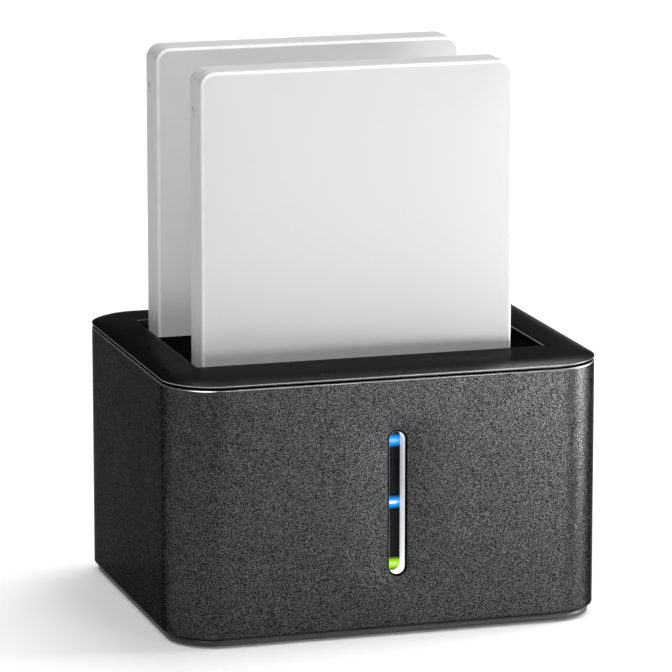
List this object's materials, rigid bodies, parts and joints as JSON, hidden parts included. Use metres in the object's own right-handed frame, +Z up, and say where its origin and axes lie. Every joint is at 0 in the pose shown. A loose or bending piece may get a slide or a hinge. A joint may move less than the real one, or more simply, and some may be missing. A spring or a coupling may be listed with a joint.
{
  "type": "hard drive docking station",
  "caption": "Desktop docking station: rounded black box with a crowned rim and an open well for upright lift-out drives, a front light slot, and ports, rocker and button behind.",
  "frame": {"origin": "on the table, under the middle of the body", "axes": "+Z up, the way the drives lift out; -Y is the front with the light slot; +X is right seen from the front"},
  "size_m": [0.097, 0.082, 0.1213],
  "materials": {
    "sleeve_textured": "fine moulded texture with a soft sparkle",
    "cover_satin": "smooth satin",
    "bay_black": "plain moulded matt",
    "base_black": "plain moulded matt",
    "foot_rubber": "matt",
    "screw_steel": "turned",
    "circuit_board": "solder mask",
    "connector_black": "plain moulded",
    "contact_gold": "plated",
    "chip_black": "moulded package",
    "can_metal": "drawn can",
    "port_metal": "plated",
    "switch_black": "satin",
    "bezel_polished": "polished",
    "window_smoked": "smoked gloss",
    "lamp_blue": "lit, clear",
    "lamp_green": "lit, clear",
    "connector_cream": "plain moulded",
    "cable_white": "flat film",
    "drive_silver": "fine satin, pale silver"
  },
  "bodies": {
    "dock": {"body_sleeve": "sleeve_textured", "top_cover": "cover_satin", "bay_frame": "bay_black", "bay_collar": "bay_black", "base_plate": "base_black", "rear_panel": "cover_satin", "base_screws": "screw_steel", "bay_screws": "screw_steel", "main_board": "circuit_board", "board_screws": "screw_steel", "front_socket": "connector_black", "rear_socket": "connector_black", "front_socket_contacts": "contact_gold", "rear_socket_contacts": "contact_gold", "bridge_chip": "chip_black", "flash_chip": "chip_black", "crystal_can": "can_metal", "inductors": "chip_black", "capacitors": "can_metal", "data_port": "port_metal", "data_tongue": "connector_black", "power_inlet": "connector_black", "inlet_pin": "port_metal", "switch_housing": "switch_black", "switch_leads": "port_metal", "copy_switch": "connector_black", "light_bezel": "bezel_polished", "light_window": "window_smoked", "lamp_board": "circuit_board", "lamp_screws": "screw_steel", "upper_lamp": "lamp_blue", "middle_lamp": "lamp_blue", "lower_lamp": "lamp_green", "lamp_connector": "connector_cream", "board_connector": "connector_cream", "lamp_cable": "cable_white", "foot_front_left": "foot_rubber", "foot_front_right": "foot_rubber", "foot_rear_left": "foot_rubber", "foot_rear_right": "foot_rubber"},
    "front_drive": {"front_drive_case": "drive_silver", "front_drive_cover": "drive_silver", "front_drive_board": "circuit_board", "front_drive_plug": "connector_black", "front_drive_contacts": "contact_gold", "front_drive_memory": "chip_black", "front_drive_controller": "chip_black", "front_drive_screws": "screw_steel"},
    "rear_drive": {"rear_drive_case": "drive_silver", "rear_drive_cover": "drive_silver", "rear_drive_board": "circuit_board", "rear_drive_plug": "connector_black", "rear_drive_contacts": "contact_gold", "rear_drive_memory": "chip_black", "rear_drive_controller": "chip_black", "rear_drive_screws": "screw_steel"},
    "power_rocker": {"power_rocker": "switch_black"},
    "copy_button": {"copy_button": "switch_black", "copy_plunger": "port_metal"}
  },
  "joints": [
    {"name": "front_drive_lift", "type": "slide", "parent": "dock", "child": "front_drive", "axis": [0, 0, 1], "range_m": [0, 0.06]},
    {"name": "rear_drive_lift", "type": "slide", "parent": "dock", "child": "rear_drive", "axis": [0, 0, 1], "range_m": [0, 0.06]},
    {"name": "power_rock", "type": "hinge", "parent": "dock", "child": "power_rocker", "pos_m": [-0.024, 0.0372, 0.0166], "axis": [0, 0, 1], "range_deg": [-16, 0]},
    {"name": "copy_press", "type": "slide", "parent": "dock", "child": "copy_button", "axis": [0, -1, 0], "range_m": [0, 0.001], "stiffness_N_per_m": 1500}
  ]
}
